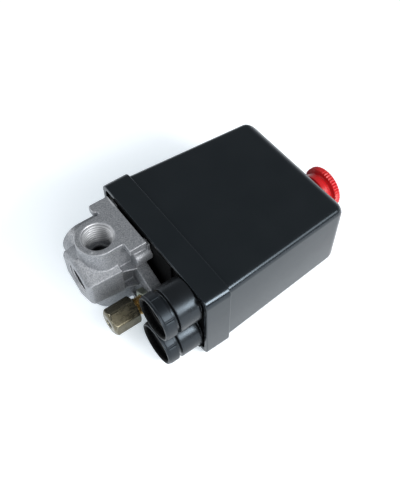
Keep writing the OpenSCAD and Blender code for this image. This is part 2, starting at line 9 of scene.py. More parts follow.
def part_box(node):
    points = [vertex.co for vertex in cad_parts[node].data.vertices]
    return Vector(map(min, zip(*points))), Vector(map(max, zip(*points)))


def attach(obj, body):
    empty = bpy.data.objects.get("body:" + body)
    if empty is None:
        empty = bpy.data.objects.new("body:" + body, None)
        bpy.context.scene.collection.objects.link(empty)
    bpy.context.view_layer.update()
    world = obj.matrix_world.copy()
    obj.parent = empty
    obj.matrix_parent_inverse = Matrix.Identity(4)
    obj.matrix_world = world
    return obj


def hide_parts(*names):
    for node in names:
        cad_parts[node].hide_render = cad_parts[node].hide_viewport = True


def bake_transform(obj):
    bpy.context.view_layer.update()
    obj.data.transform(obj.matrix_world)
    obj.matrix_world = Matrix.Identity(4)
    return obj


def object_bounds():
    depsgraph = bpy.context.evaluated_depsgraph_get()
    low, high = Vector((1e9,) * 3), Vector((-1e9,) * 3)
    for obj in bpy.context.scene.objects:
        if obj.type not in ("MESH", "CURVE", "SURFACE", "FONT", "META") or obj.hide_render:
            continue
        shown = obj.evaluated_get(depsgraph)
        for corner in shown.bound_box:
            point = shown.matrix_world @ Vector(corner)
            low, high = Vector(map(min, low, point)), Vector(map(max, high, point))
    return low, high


# Lengths are in metres. The frame is the switch's own: +Y from the inlet port to the knob,
# +X towards the cable glands, +Z up.
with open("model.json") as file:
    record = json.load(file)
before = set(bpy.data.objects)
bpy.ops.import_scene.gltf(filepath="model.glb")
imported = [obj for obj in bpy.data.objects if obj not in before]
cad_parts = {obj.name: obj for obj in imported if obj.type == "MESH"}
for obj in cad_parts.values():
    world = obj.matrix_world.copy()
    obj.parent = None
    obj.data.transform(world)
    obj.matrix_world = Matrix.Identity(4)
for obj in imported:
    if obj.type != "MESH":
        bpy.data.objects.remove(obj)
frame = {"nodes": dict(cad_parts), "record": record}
cad_low, cad_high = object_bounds()

MM = 0.001
FULL_TURN = 2 * math.pi
ORIGIN = Vector((0, 0, 0))

# Edges sharper than these angles stay sharp
SMOOTH_ANGLE = math.radians(32)
THREAD_SMOOTH_ANGLE = math.radians(50)
CAST_SMOOTH_ANGLE = math.radians(60)

# The four ports: mount and outward direction
PORTS = (("inlet_port", Vector((0, -1, 0))), ("outlet_port_top", Vector((0, 0, 1))),
         ("outlet_port_bottom", Vector((0, 0, -1))), ("outlet_port_side", Vector((-1, 0, 0))))
GLAND_SIDES = ("upper", "lower")


def mount(name):
    """Place of one of the record's mounts."""
    for entry in frame["record"]["mounts"]:
        if entry["name"] == name:
            return Vector(entry["pos_m"])
    raise ValueError(name)


def middle(node):
    """Centre of a CAD node's box."""
    low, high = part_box(node)
    return (low + high) / 2


# ---------------------------------------------------------------- camera, light and floor

CAMERA_AT = Vector((148.0, -42.4, 224.7)) * MM
LOOK_AT = Vector((18.05, 49.15, 0.0)) * MM
CAMERA_ROLL = math.radians(1.04)
# Lens and sensor in millimetres, as Blender takes them
CAMERA_LENS = 46.96
SENSOR_WIDTH = 36
NEAREST_SEEN = 0.01

# Area lights aimed at the switch's centre: place from there, size and power in watts
LIGHTS = {
    "key": ((0.55, -0.10, 0.42), (0.45, 0.45), 2.2),
    "fill": ((-0.35, -0.65, 0.55), (0.5, 0.5), 2.3),
    "side": ((-0.60, -0.45, 0.30), (0.3, 0.3), 0.9),
    "edge": ((0.50, 0.26, 0.33), (0.5, 0.2), 1.5),
    "glint": ((0.556, 0.205, 0.336), (0.16, 0.24), 2.2),
}

# Surroundings: bright near the horizon, like a light tent, and dim overhead
SKY = [(0.0, (0.70, 0.75, 0.80)), (0.10, (0.72, 0.75, 0.79)), (0.42, (0.190, 0.205, 0.216)),
       (1.0, (0.190, 0.205, 0.216))]
# They are dim on the key light's side too: that draws the dark line beside an edge's highlight
DIM_SIDE = (0.30, 0.32, 0.34)
DIM_FROM, DIM_TO = 0.45, 0.80

FLOOR_HALF_WIDTH = 3.0
FLOOR_WHITE = (0.93, 0.93, 0.93)
FLOOR_ROUGHNESS = 0.9
FLOOR_GLOW = (0.80, 0.91, 1)
FLOOR_GLOW_STRENGTH = 0.43


def make_camera():
    data = bpy.data.cameras.new("camera")
    data.lens = CAMERA_LENS
    data.sensor_width = SENSOR_WIDTH
    data.clip_start = NEAREST_SEEN
    camera = bpy.data.objects.new("camera", data)
    bpy.context.scene.collection.objects.link(camera)
    look = (LOOK_AT - CAMERA_AT).to_track_quat("-Z", "Y")
    roll = Matrix.Rotation(-CAMERA_ROLL, 3, "Z")
    camera.rotation_mode = "QUATERNION"
    camera.rotation_quaternion = (look.to_matrix() @ roll).to_quaternion()
    camera.location = CAMERA_AT
    bpy.context.scene.camera = camera


def area_light(name, place, target, size, energy):
    data = bpy.data.lights.new(name, "AREA")
    data.shape = "RECTANGLE"
    data.size, data.size_y = size
    data.energy = energy
    light = bpy.data.objects.new(name, data)
    bpy.context.scene.collection.objects.link(light)
    light.location = place
    light.rotation_mode = "QUATERNION"
    light.rotation_quaternion = (target - place).to_track_quat("-Z", "Y")


def make_world():
    """Surroundings that light the switch and show in its gloss."""
    scene = bpy.context.scene
    scene.view_settings.view_transform = "Standard"
    scene.world = bpy.data.worlds.new("studio")
    scene.world.use_nodes = True
    tree = scene.world.node_tree
    place = tree.nodes.new("ShaderNodeTexCoord")
    split = tree.nodes.new("ShaderNodeSeparateXYZ")
    tree.links.new(place.outputs["Generated"], split.inputs["Vector"])
    dim = spread(tree, split.outputs["X"], 0.0, 1.0, DIM_FROM, DIM_TO)
    colour = mixed(tree, dim, ramp(tree, split.outputs["Z"], SKY), DIM_SIDE)
    tree.links.new(colour, tree.nodes["Background"].inputs["Color"])


def make_floor(centre):
    """Plain white floor under the switch, lit a little from within."""
    bm = bmesh.new()
    bmesh.ops.create_grid(bm, x_segments=2, y_segments=2, size=FLOOR_HALF_WIDTH)
    data = bpy.data.meshes.new("floor")
    bm.to_mesh(data)
    bm.free()
    floor = bpy.data.objects.new("floor", data)
    bpy.context.scene.collection.objects.link(floor)
    floor.location = (centre.x, centre.y, cad_low.z)
    material, shader, _ = new_material("floor_white", FLOOR_WHITE, FLOOR_ROUGHNESS)
    shader.inputs["Emission Color"].default_value = (*FLOOR_GLOW, 1)
    shader.inputs["Emission Strength"].default_value = FLOOR_GLOW_STRENGTH
    data.materials.append(material)


def make_studio():
    """Surroundings, area lights and floor."""
    make_world()
    centre = (cad_low + cad_high) / 2
    for name, (offset, size, energy) in LIGHTS.items():
        area_light(name, centre + Vector(offset), centre, size, energy)
    make_floor(centre)


# ---------------------------------------------------------------- shader nodes

# Sockets of a colour mix node
MIX_A, MIX_B, MIX_RESULT = 6, 7, 2


def new_material(name, colour, roughness, metallic=0.0):
    """A material with one Principled shader; returns it, the shader and the node tree."""
    material = bpy.data.materials.new(name)
    material.use_nodes = True
    tree = material.node_tree
    shader = tree.nodes["Principled BSDF"]
    shader.inputs["Base Color"].default_value = (*colour, 1)
    shader.inputs["Roughness"].default_value = roughness
    shader.inputs["Metallic"].default_value = metallic
    return material, shader, tree


def noise(tree, scale, detail, rough, stretch=(1, 1, 1)):
    """Object-space noise whose scale is features per metre; returns its factor socket."""
    place = tree.nodes.new("ShaderNodeTexCoord")
    mapping = tree.nodes.new("ShaderNodeMapping")
    mapping.inputs["Scale"].default_value = stretch
    texture = tree.nodes.new("ShaderNodeTexNoise")
    texture.inputs["Scale"].default_value = scale
    texture.inputs["Detail"].default_value = detail
    texture.inputs["Roughness"].default_value = rough
    tree.links.new(place.outputs["Object"], mapping.inputs["Vector"])
    tree.links.new(mapping.outputs["Vector"], texture.inputs["Vector"])
    return texture.outputs["Fac"]


def ramp(tree, factor, stops):
    """Colour ramp; stops are (position, colour) pairs. Returns its colour socket."""
    node = tree.nodes.new("ShaderNodeValToRGB")
    elements = node.color_ramp.elements
    while len(elements) < len(stops):
        elements.new(0.5)
    for element, (position, colour) in zip(elements, stops):
        element.position = position
        element.color = (*colour, 1)
    tree.links.new(factor, node.inputs["Fac"])
    return node.outputs["Color"]


def spread(tree, factor, low, high, low_in=0.3, high_in=0.7):
    """Maps a factor from low_in..high_in, a noise's usual range, to low..high."""
    node = tree.nodes.new("ShaderNodeMapRange")
    node.inputs["From Min"].default_value = low_in
    node.inputs["From Max"].default_value = high_in
    node.inputs["To Min"].default_value = low
    node.inputs["To Max"].default_value = high
    tree.links.new(factor, node.inputs["Value"])
    return node.outputs["Result"]


def bump(tree, shader, layers):
    """Stacks bumps on a shader; layers are (factor socket, strength, depth in metres)."""
    normal = None
    for factor, strength, depth in layers:
        node = tree.nodes.new("ShaderNodeBump")
        node.inputs["Strength"].default_value = strength
        node.inputs["Distance"].default_value = depth
        tree.links.new(factor, node.inputs["Height"])
        if normal is not None:
            tree.links.new(normal, node.inputs["Normal"])
        normal = node.outputs["Normal"]
    tree.links.new(normal, shader.inputs["Normal"])


def mixed(tree, mask, colour_socket, other):
    """Mixes a fixed colour in where the mask is 1; returns the mixed colour's socket."""
    mix = tree.nodes.new("ShaderNodeMix")
    mix.data_type = "RGBA"
    tree.links.new(mask, mix.inputs["Factor"])
    tree.links.new(colour_socket, mix.inputs[MIX_A])
    mix.inputs[MIX_B].default_value = (*other, 1)
    return mix.outputs[MIX_RESULT]


def painted_edge_highlight(tree, colour_socket, bright, low, high):
    """Painted highlight: mixes a brighter colour into raised edges, by the mesh's own pointiness.
    """
    geometry = tree.nodes.new("ShaderNodeNewGeometry")
    mask = spread(tree, geometry.outputs["Pointiness"], 0.0, 1.0, low, high)
    return mixed(tree, mask, colour_socket, bright)


def paint_passage_shade(tree, colour_socket, shade_paint, centre, reach, fade):
    """Painted shade: mixes a dark colour in within reach of a point, deep in the passages."""
    place = tree.nodes.new("ShaderNodeTexCoord")
    apart = tree.nodes.new("ShaderNodeVectorMath")
    apart.operation = "DISTANCE"
    apart.inputs[1].default_value = centre
    tree.links.new(place.outputs["Object"], apart.inputs[0])
    mask = spread(tree, apart.outputs["Value"], 1.0, 0.0, reach - fade, reach)
    return mixed(tree, mask, colour_socket, shade_paint)


# ---------------------------------------------------------------- materials

# Noise scales are in features per metre, depths of bumps in metres
CLOUD_SCALE, HAZE_SCALE, SINK_SCALE, PIT_SCALE = 70, 120, 22, 900
GRAIN_STRENGTH, SINK_STRENGTH, MARK_STRENGTH, PIT_STRENGTH = 0.3, 0.2, 0.5, 0.45


def plastic(name, dark, light, roughness, grain, grain_depth, gloss_spread=0.05, waves=0.0,
            tint=(1, 1, 1), specular=0.5):
    """Moulded plastic: faint colour clouding, uneven gloss, a fine grain, and slow sink waves."""
    material, shader, tree = new_material(name, dark, roughness)
    cloud = noise(tree, CLOUD_SCALE, detail=2, rough=0.4)
    colour = ramp(tree, cloud, [(0.35, dark), (0.7, light)])
    tree.links.new(colour, shader.inputs["Base Color"])
    haze = noise(tree, HAZE_SCALE, detail=4, rough=0.5)
    gloss = spread(tree, haze, roughness - gloss_spread, roughness + gloss_spread)
    tree.links.new(gloss, shader.inputs["Roughness"])
    shader.inputs["Specular Tint"].default_value = (*tint, 1)
    shader.inputs["Specular IOR Level"].default_value = specular
    layers = [(noise(tree, grain, detail=2, rough=0.5), GRAIN_STRENGTH, grain_depth)]
    if waves:
        layers.append((noise(tree, SINK_SCALE, detail=1, rough=0.3), SINK_STRENGTH, waves))
    bump(tree, shader, layers)
    return material


def metal(name, dark, light, roughness, grain, grain_depth, stretch=(1, 1, 1), edge=None,
          edge_at=(0.52, 0.62), metallic=1.0, cloud_scale=140, pits=0.0, shade_paint=None):
    """Bare metal: mottled colour, uneven roughness, and grain or turning marks as bump."""
    material, shader, tree = new_material(name, dark, roughness, metallic)
    cloud = noise(tree, cloud_scale, detail=6, rough=0.62)
    colour = ramp(tree, cloud, [(0.32, dark), (0.68, light)])
    # painted highlight: a lighter colour on raised edges
    if edge:
        colour = painted_edge_highlight(tree, colour, edge, *edge_at)
    # painted shade: darker deep in the passages
    if shade_paint:
        colour = paint_passage_shade(tree, colour, *shade_paint)
    tree.links.new(colour, shader.inputs["Base Color"])
    marks = noise(tree, grain, detail=4, rough=0.6, stretch=stretch)
    rough = spread(tree, marks, roughness - 0.1, roughness + 0.12)
    tree.links.new(rough, shader.inputs["Roughness"])
    layers = [(marks, MARK_STRENGTH, grain_depth)]
    if pits:
        layers.append((noise(tree, PIT_SCALE, detail=3, rough=0.7), PIT_STRENGTH, pits))
    bump(tree, shader, layers)
    return material


# Cool tint of the black mouldings' gloss
COOL = (0.64, 0.77, 0.89)

# Settings of plastic(), by the name of the slot or finish
PLASTICS = {
    "cover_plastic": dict(dark=(0.0075, 0.0092, 0.0105), light=(0.0090, 0.0108, 0.0122),
                          roughness=0.21, grain=2600, grain_depth=0.000006,
                          gloss_spread=0.03, waves=0.00004, tint=COOL),
    "frame_plastic": dict(dark=(0.007, 0.0075, 0.0082), light=(0.010, 0.0108, 0.012),
                          roughness=0.29, grain=3200, grain_depth=0.00002, tint=COOL),
    # matt finish with a darker colour painted as shade on the base moulding
    "frame_matt_shade_paint": dict(dark=(0.0022, 0.0024, 0.0026), light=(0.0034, 0.0036, 0.0040),
                         roughness=0.62, grain=3200, grain_depth=0.00003, specular=0.06),
    "nut_plastic": dict(dark=(0.0045, 0.0052, 0.0062), light=(0.006, 0.007, 0.0085),
                        roughness=0.40, grain=3000, grain_depth=0.00003, tint=COOL),
    # matt finish with a darker colour painted as shade inside the gland nuts' mouths
    "nut_mouth_shade_paint": dict(dark=(0.0020, 0.0023, 0.0026), light=(0.0032, 0.0035, 0.0040),
                      roughness=0.50, grain=3000, grain_depth=0.00003, specular=0.05),
    "washer_plastic": dict(dark=(0.0035, 0.0036, 0.004), light=(0.006, 0.006, 0.0065),
                           roughness=0.50, grain=3000, grain_depth=0.00002, specular=0.12),
    "knob_red": dict(dark=(0.55, 0.011, 0.014), light=(0.62, 0.018, 0.020),
                     roughness=0.32, grain=2600, grain_depth=0.00001),
    "ivory_plastic": dict(dark=(0.58, 0.54, 0.43), light=(0.68, 0.64, 0.54),
                          roughness=0.45, grain=2800, grain_depth=0.00002),
    "phenolic": dict(dark=(0.05, 0.026, 0.016), light=(0.10, 0.05, 0.03),
                     roughness=0.4, grain=1800, grain_depth=0.00003),
    "rubber_black": dict(dark=(0.006, 0.006, 0.006), light=(0.012, 0.012, 0.012),
                         roughness=0.65, grain=2400, grain_depth=0.00004),
}

# Painted shade deep in the port casting's passages: colour, centre, reach and width of its soft
# edge
PORT_CROSSING = Vector((mount("inlet_port").x, mount("outlet_port_top").y,
                        mount("inlet_port").z))
PASSAGE_SHADE_PAINT = ((0.035, 0.037, 0.040), PORT_CROSSING, 9.0 * MM, 1.2 * MM)

# Settings of metal(), by the name of the slot or finish
# The edge colours are painted highlights on raised edges
METALS = {
    "cast_metal": dict(dark=(0.165, 0.173, 0.188), light=(0.385, 0.396, 0.415),
                       roughness=0.46, grain=2200, grain_depth=0.0001,
                       edge=(0.56, 0.57, 0.59), metallic=0.5, cloud_scale=1700,
                       pits=0.00016, shade_paint=PASSAGE_SHADE_PAINT),
    "cut_thread": dict(dark=(0.10, 0.104, 0.11), light=(0.15, 0.155, 0.165),
                       roughness=0.46, grain=2400, grain_depth=0.00001,
                       edge=(0.66, 0.67, 0.69), edge_at=(0.46, 0.56), metallic=0.55,
                       cloud_scale=900),
    "zinc_steel": dict(dark=(0.46, 0.47, 0.45), light=(0.60, 0.61, 0.60),
                       roughness=0.36, grain=1500, grain_depth=0.00002, stretch=(1, 8, 1)),
    "screw_steel": dict(dark=(0.48, 0.49, 0.48), light=(0.64, 0.64, 0.64),
                        roughness=0.3, grain=1500, grain_depth=0.00002),
    "bright_steel": dict(dark=(0.58, 0.58, 0.59), light=(0.72, 0.72, 0.73),
                         roughness=0.2, grain=2400, grain_depth=0.00001,
                         stretch=(1, 12, 1)),
    "spring_steel": dict(dark=(0.34, 0.34, 0.36), light=(0.50, 0.50, 0.52),
                         roughness=0.3, grain=2400, grain_depth=0.00001),
    "yellow_brass": dict(dark=(0.46, 0.31, 0.12), light=(0.66, 0.49, 0.23),
                         roughness=0.32, grain=1400, grain_depth=0.00002),
    "aged_brass": dict(dark=(0.100, 0.090, 0.058), light=(0.190, 0.172, 0.125),
                       roughness=0.28, grain=1100, grain_depth=0.00003,
                       stretch=(1, 0.25, 1), edge=(0.62, 0.60, 0.50)),
    "plated_nut": dict(dark=(0.40, 0.44, 0.34), light=(0.60, 0.63, 0.53),
                       roughness=0.34, grain=1300, grain_depth=0.00002),
    "copper": dict(dark=(0.50, 0.24, 0.14), light=(0.74, 0.42, 0.28),
                   roughness=0.3, grain=1500, grain_depth=0.00002, stretch=(6, 1, 1)),
    "green_screw": dict(dark=(0.05, 0.20, 0.08), light=(0.09, 0.29, 0.12),
                        roughness=0.4, grain=1300, grain_depth=0.00003, metallic=0.2),
}


def make_materials():
    """A material for each of the record's slots, and the finishes of some faces of them."""
    made = {name: plastic(name, **settings) for name, settings in PLASTICS.items()}
    made.update((name, metal(name, **settings)) for name, settings in METALS.items())
    return made


# ---------------------------------------------------------------- mesh helpers

def bare_piece(name, mesh, slot, replaced=(), angle=SMOOTH_ANGLE, finish=None):
    """Puts a finished mesh into the scene, not yet riding on a body. Its material is its
    slot's, or a finish of its own."""
    mesh.shade_smooth()
    mesh.set_sharp_from_angle(angle=angle)
    mesh.materials.clear()
    mesh.materials.append(materials[finish or slot])
    made = bpy.data.objects.new(name, mesh)
    bpy.context.scene.collection.objects.link(made)
    if replaced:
        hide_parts(*replaced)
    return made


def piece(name, mesh, body, slot, replaced=(), angle=SMOOTH_ANGLE, finish=None):
    """Puts a finished mesh into the scene as a piece that rides on a body."""
    made = bare_piece(name, mesh, slot, replaced, angle, finish)
    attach(made, body)
    return made


# Points closer than this are one
SAME_POINT = 1e-7
# Radius at which a shown piece that is turned ends on its axis
AXIS_RADIUS = 0.02 * MM


def mesh_from(name, points, faces):
    mesh = bpy.data.meshes.new(name)
    mesh.from_pydata([tuple(p) for p in points], [], faces)
    mesh.validate()
    return tidy(mesh)


def tidy(mesh):
    """Merges doubled points and makes all faces look outwards."""
    bm = bmesh.new()
    bm.from_mesh(mesh)
    bmesh.ops.remove_doubles(bm, verts=bm.verts, dist=SAME_POINT)
    bmesh.ops.recalc_face_normals(bm, faces=bm.faces)
    bm.to_mesh(mesh)
    bm.free()
    return mesh


def loft(name, loops, ring=False):
    """Skin through closed loops of equal length. Capped at both ends, or joined in a ring."""
    count = len(loops[0])
    points = [p for loop in loops for p in loop]
    faces = []
    for i in range(len(loops) if ring else len(loops) - 1):
        j = (i + 1) % len(loops)
        for k in range(count):
            n = (k + 1) % count
            faces.append((i * count + k, i * count + n, j * count + n, j * count + k))
    if not ring:
        faces.append(tuple(reversed(range(count))))
        faces.append(tuple(range((len(loops) - 1) * count, len(loops) * count)))
    return mesh_from(name, points, faces)


# Points round a turned part: plain, hexagonal or threaded, notched, and toothed
ROUND, FACETED, NOTCHED, TOOTHED = 96, 144, 288, 360


def circle_y(centre, radius, y, segments=ROUND):
    """Loop round the Y axis line through centre; radius is a number or a function of angle."""
    loop = []
    for k in range(segments):
        a = FULL_TURN * k / segments
        r = radius(a) if callable(radius) else radius
        loop.append(Vector((centre.x + r * math.cos(a), y, centre.z + r * math.sin(a))))
    return loop


def revolve(name, centre, profile, ring=True, segments=ROUND):
    """Turned part round the Y axis line through centre. profile is (radius, y) pairs."""
    return loft(name, [circle_y(centre, r, y, segments) for r, y in profile], ring)


def quarter(steps):
    """Angles of a quarter turn in equal steps, both ends included."""
    return [math.radians(90 * s / steps) for s in range(steps + 1)]


def modified(mesh, *settings):
    """Applies modifiers, given as (type, {property: value}), and returns the new mesh."""
    carrier = bpy.data.objects.new("carrier", mesh)
    bpy.context.scene.collection.objects.link(carrier)
    for kind, values in settings:
        modifier = carrier.modifiers.new(kind.lower(), kind)
        for key, value in values.items():
            setattr(modifier, key, value)
    bpy.context.view_layer.update()
    graph = bpy.context.evaluated_depsgraph_get()
    result = bpy.data.meshes.new_from_object(carrier.evaluated_get(graph))
    bpy.data.objects.remove(carrier)
    return result


def cut(mesh, cutters):
    """Cuts several closed meshes out of a mesh, one after another."""
    for cutter in cutters:
        tool = bpy.data.objects.new("tool", cutter)
        bpy.context.scene.collection.objects.link(tool)
        mesh = modified(mesh, ("BOOLEAN", {"operation": "DIFFERENCE", "object": tool,
                                           "solver": "EXACT"}))
        bpy.data.objects.remove(tool)
    return mesh


def softened(mesh, voxel, passes, kept):
    """Remeshes finely and smooths, so that every edge gets a small even radius, then keeps
    this share of the faces."""
    return modified(mesh, ("REMESH", {"mode": "VOXEL", "voxel_size": voxel}),
                    ("SMOOTH", {"iterations": passes, "factor": 0.5}),
                    ("DECIMATE", {"ratio": kept}))


def cad_copy(node):
    """A free copy of a CAD node's mesh, welded into closed surfaces."""
    mesh = frame["nodes"][node].data.copy()
    mesh.name = node + "_shape"
    return tidy(mesh)


# ---------------------------------------------------------------- shapes of the pieces

def rounded_rectangle(width, depth, radius, y, steps=8):
    """Loop of a rounded rectangle across the cover's axis, at height y."""
    centre = middle("cover")
    loop = []
    for start, sx, sz in ((0, 1, 1), (90, -1, 1), (180, -1, -1), (270, 1, -1)):
        for s in range(steps + 1):
            a = math.radians(start + 90 * s / steps)
            loop.append(Vector((centre.x + sx * (width / 2 - radius) + radius * math.cos(a), y,
                                centre.z + sz * (depth / 2 - radius) + radius * math.sin(a))))
    return loop


def cover_mesh():
    """The cover as one skin: ceiling, inner walls, open rim, skirt, step, body, closed end."""
    low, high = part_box("cover")
    skirt = 11.5 * MM
    step = 1.3 * MM
    wall = 2.2 * MM
    end = 5.5 * MM
    draft_x, draft_z = 3.6 * MM, 1.1 * MM
    # corner radii of skirt and body in millimetres, of all other sections at least this
    skirt_corner, body_corner = 4.0, 3.2
    least_corner = 0.4 * MM
    step_round = 0.5 * MM
    knob_hole, screw_hole, tip = 6.3 * MM, 2.2 * MM, 0.0001 * MM
    step_y = low.y + skirt
    span = high.y - step_y

    def at(y, inset, radius):
        """Section of skirt or body at y, moved inwards by inset."""
        if y <= step_y + SAME_POINT:
            return rounded_rectangle(high.x - low.x - 2 * inset, high.z - low.z - 2 * inset,
                                     max(radius, least_corner), y)
        t = (y - step_y) / (span - end)
        dx = step + draft_x * min(t, 1) + inset
        dz = step + draft_z * min(t, 1) + inset
        return rounded_rectangle(high.x - low.x - 2 * dx, high.z - low.z - 2 * dz,
                                 max(radius, least_corner), y)

    # inside, from the ceiling down to the rim
    loops = []
    ceiling = high.y - wall
    for inset in (7.0, 4.2, 3.9):
        loops.append(at(ceiling, inset * MM, 2.4 * MM))
    for a in quarter(6):
        loops.append(at(ceiling - (end - wall) * (1 - math.cos(a)),
                        wall + (end - wall) * (1 - math.sin(a)), 1.6 * MM))
    loops.append(at(step_y + 0.2 * MM, wall, 1.2 * MM))
    loops.append(at(step_y - 2.0 * MM, wall + step, 1.2 * MM))
    loops.append(at(step_y - 2.2 * MM, wall, 1.6 * MM))
    loops.append(at(low.y + 0.5 * MM, wall, 1.6 * MM))
    # round the rim and up the skirt to its step
    for y, inset in ((0.2, 2.15), (0.05, 2.0), (0.0, 1.8), (0.0, 0.5), (0.06, 0.22), (0.2, 0.06),
                     (0.42, 0.0), (0.6, 0.0)):
        loops.append(at(low.y + y * MM, inset * MM, (skirt_corner - inset * 0.6) * MM))
    loops.append(at(step_y - 0.7 * MM, 0.0, skirt_corner * MM))
    for a in quarter(6):
        loops.append(at(step_y - step_round + step_round * math.sin(a),
                        step_round * (1 - math.cos(a)),
                        (skirt_corner - 0.4 * (1 - math.cos(a))) * MM))
    # up the drafted body and over the closed end
    for y, inset in ((0.01, -0.12), (0.05, -0.04), (0.12, 0.0), (0.4, 0.0)):
        loops.append(at(step_y + y * MM, inset * MM, body_corner * MM))
    for t in (0.25, 0.5, 0.75, 0.96, 0.99):
        loops.append(at(step_y + (span - end) * t, 0.0, body_corner * MM))
    for a in quarter(12):
        loops.append(at(high.y - end + end * math.sin(a), end * (1 - math.cos(a)),
                        (body_corner + 0.9 * (1 - math.cos(a))) * MM))
    for inset in (5.8, 6.2, 9.0):
        loops.append(at(high.y, inset * MM, 4.0 * MM))
    holes = [(middle("knob"), knob_hole), (middle("cover_screw"), screw_hole)]
    cutters = [revolve("hole", centre, [(tip, high.y - 10 * MM), (r, high.y - 10 * MM),
                                        (r, high.y - 0.5 * MM),
                                        (r + 0.1 * MM, high.y - 0.25 * MM),
                                        (r + 0.5 * MM, high.y + 0.2 * MM),
                                        (tip, high.y + 1 * MM)], ring=False, segments=72)
               for centre, r in holes]
    return cut(loft("cover_shell", loops), cutters)


def thread_wave(angle, y, pitch, flat):
    """From 0 at a thread's root to 1 at its crest, at this angle and place along the axis."""
    t = (y / pitch + angle / FULL_TURN) % 1.0
    t = 1 - abs(2 * t - 1)
    return min(max((t - flat) / (1 - 2 * flat), 0.0), 1.0)


def turn_to(mesh, axis, place):
    """Turns a part drawn along +Y from the origin so that it lies along axis, at place."""
    rotation = Vector((0, 1, 0)).rotation_difference(axis).to_matrix().to_4x4()
    mesh.transform(Matrix.Translation(place) @ rotation)
    return mesh


# The pipe thread of the ports, and the outer radius of their threaded walls
PORT_PITCH, PORT_MINOR, PORT_MAJOR = 1.337 * MM, 5.82 * MM, 6.62 * MM
PORT_WALL = 7.3 * MM


def port_liner(name, place, axis):
    """Threaded wall of a pipe port: mouth chamfer and full turns; place is its mouth."""
    depth, mouth = 10.9 * MM, 0.3 * MM
    chamfer_radius, chamfer_slope, chamfer_end = 6.75 * MM, 0.95, 1.4 * MM
    runout = 1.2 * MM
    rows = 98
    loops = [circle_y(ORIGIN, PORT_WALL, 0.45 * MM), circle_y(ORIGIN, PORT_WALL, depth),
             circle_y(ORIGIN, PORT_MINOR, depth)]
    for i in range(rows + 1):
        y = depth - (depth - mouth) * i / rows

        def wall(a, y=y):
            fade = min(1.0, (depth - y) / runout)
            groove = fade * (1 - thread_wave(a, y, PORT_PITCH, 0.1))
            chamfer = chamfer_radius - chamfer_slope * max(y - mouth, 0)
            return max(PORT_MINOR + (PORT_MAJOR - PORT_MINOR) * groove,
                       chamfer if y < chamfer_end else 0)
        loops.append(circle_y(ORIGIN, wall, y))
    return turn_to(loft(name, loops, ring=True), -axis, place)


def manifold_mesh():
    """The casting with chamfered ports, every edge softened as sand-blasted castings are."""
    bore, mouth, tip, depth = 6.72 * MM, 7.75 * MM, 0.001 * MM, 10.7 * MM
    cutters = []
    for name, axis in PORTS:
        profile = [(tip, -1 * MM), (mouth, -1 * MM), (bore, 0.3 * MM), (bore, depth),
                   (tip, depth)]
        cutter = revolve("bore", ORIGIN, profile, ring=False)
        cutters.append(turn_to(cutter, -axis, mount(name)))
    return softened(cut(cad_copy("manifold"), cutters), voxel=0.28 * MM, passes=5, kept=0.4)


# Rows of a nut wider than this follow its hexagon, whose corners are taken back this much
HEX_FROM = 4.6 * MM
HEX_SOFT = 0.18 * MM


def hexagon(across_flats, limit):
    """Radius of a hexagon with flats at +X and -X, rounded off at its corners and by limit."""
    def radius(angle):
        off = (angle + math.radians(30)) % math.radians(60) - math.radians(30)
        flat = across_flats / 2 / math.cos(off)
        return min(flat, across_flats / math.sqrt(3) - HEX_SOFT, limit)
    return radius


def hexagonal_nut(node, rows):
    """Nut through (radius, y) rows; those well outside its bore follow its hexagon."""
    low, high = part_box(node)
    across = high.x - low.x
    loops = [circle_y(middle(node), hexagon(across, r) if r > HEX_FROM else r, y, FACETED)
             for r, y in rows]
    return loft(node + "_shape", loops, ring=True)


def compression_nut_mesh():
    """Compression nut: rounded front with the tube's hole, hexagon, hollow behind its web."""
    low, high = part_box("compression_nut")
    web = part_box("ferrule")[0].y - 0.1 * MM
    bore, inner = 2.05 * MM, 4.06 * MM
    rows = [(bore, web), (bore, low.y + 0.4 * MM), (bore + 0.06 * MM, low.y + 0.1 * MM),
            (bore + 0.3 * MM, low.y), (4.2 * MM, low.y), (4.55 * MM, low.y + 0.04 * MM)]
    # rounded front face, hexagon, rounded back face
    for s in range(8):
        rows.append((4.75 * MM + s * 0.24 * MM, low.y + (0.13 + s * s * 0.022 + s * 0.06) * MM))
    for s in range(12):
        rows.append((6.6 * MM, low.y + 1.9 * MM + (high.y - low.y - 3 * MM) * s / 11))
    for s in range(5):
        rows.append(((6.5 - 0.28 * s) * MM, high.y - (0.8 - 0.18 * s) * MM))
    rows += [(5.2 * MM, high.y), (inner + 0.3 * MM, high.y), (inner, high.y - 0.3 * MM),
             (inner, web + 0.2 * MM), (inner - 0.2 * MM, web)]
    return hexagonal_nut("compression_nut", rows)


def locknut_mesh():
    """Thin hexagonal nut, its front corners well rounded."""
    low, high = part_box("unloader_locknut")
    bore = 4.0 * MM
    rows = [(bore, high.y), (bore, low.y + 0.5 * MM), (bore + 0.5 * MM, low.y)]
    for r, y in ((4.9, 0), (5.2, 0.05), (5.5, 0.16), (5.8, 0.32), (6.1, 0.55), (6.35, 0.85),
                 (6.6, 1.4)):
        rows.append((r * MM, low.y + y * MM))
    for r, y in ((6.6, 0.6), (6.2, 0.3), (5.8, 0.1), (5.4, 0)):
        rows.append((r * MM, high.y - y * MM))
    return hexagonal_nut("unloader_locknut", rows)


